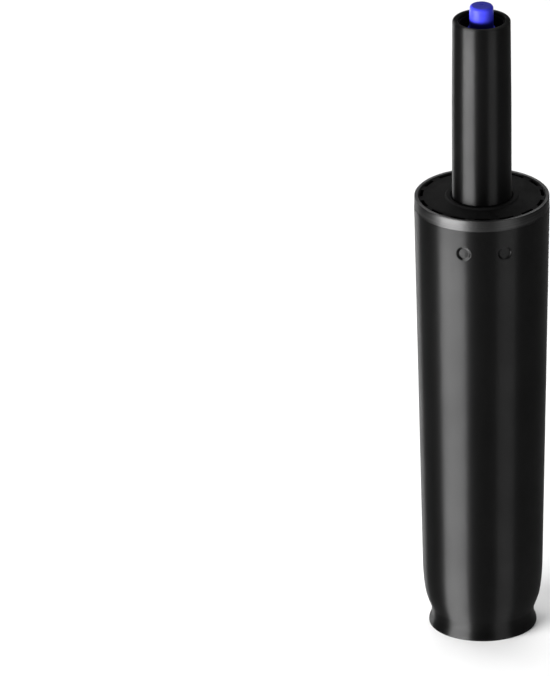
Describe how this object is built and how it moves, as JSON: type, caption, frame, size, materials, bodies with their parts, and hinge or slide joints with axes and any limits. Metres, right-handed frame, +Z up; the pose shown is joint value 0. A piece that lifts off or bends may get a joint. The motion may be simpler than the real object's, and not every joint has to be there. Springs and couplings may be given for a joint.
{
  "type": "gas lift cylinder",
  "caption": "Gas lift cylinder for a swivel chair: tapered black steel column, sliding pressure tube, and a push button that frees the seat height.",
  "frame": {"origin": "centre of the column's foot, in the plane that it stands on", "axes": "+Z up along the cylinder's axis, -Y to the front, where the pictured pair of crimp dimples is, +X to the right"},
  "size_m": [0.0636, 0.0636, 0.3161],
  "materials": {
    "black_paint": "satin black paint",
    "bright_steel": "plain machined steel",
    "polished_rod": "ground and hard chromed",
    "black_plastic": "moulded black",
    "natural_plastic": "moulded natural",
    "blue_plastic": "glossy blue",
    "aluminium": "turned",
    "brass": "turned",
    "rubber": "black"
  },
  "bodies": {
    "column": {"column_tube": "black_paint", "base_plug": "bright_steel", "guide_sleeve": "black_plastic", "lower_race": "bright_steel"},
    "bearing_cage": {"bearing_cage": "brass", "bearing_balls": "polished_rod"},
    "rod": {"upper_race": "bright_steel", "piston_rod": "polished_rod", "rod_washer": "bright_steel", "rod_clip": "bright_steel", "rubber_buffer": "rubber", "piston": "aluminium", "piston_ring": "rubber", "piston_washer": "bright_steel"},
    "lift_tube": {"pressure_tube": "black_paint", "end_washer": "bright_steel", "rod_seal": "rubber", "rod_guide": "natural_plastic", "inner_cylinder": "bright_steel", "valve_body": "black_plastic", "body_seal_ring": "rubber", "spigot_seal_ring": "rubber", "pin_seal_rings": "rubber", "valve_seat": "rubber", "seat_retainer": "brass"},
    "release": {"release_pin": "bright_steel", "release_button": "blue_plastic"}
  },
  "joints": [
    {"name": "swivel", "type": "hinge", "parent": "column", "child": "rod", "pos_m": [0, 0, 0.0157], "axis": [0, 0, 1], "continuous": true},
    {"name": "cage_spin", "type": "hinge", "parent": "column", "child": "bearing_cage", "pos_m": [0, 0, 0.0134], "axis": [0, 0, 1], "continuous": true},
    {"name": "lift", "type": "slide", "parent": "rod", "child": "lift_tube", "axis": [0, 0, 1], "range_m": [0, 0.12]},
    {"name": "button_press", "type": "slide", "parent": "lift_tube", "child": "release", "axis": [0, 0, 1], "range_m": [-0.004, 0], "stiffness_N_per_m": 1500}
  ],
  "couplings": [
    {"joint": "cage_spin", "follows": "swivel", "ratio": 0.5}
  ]
}
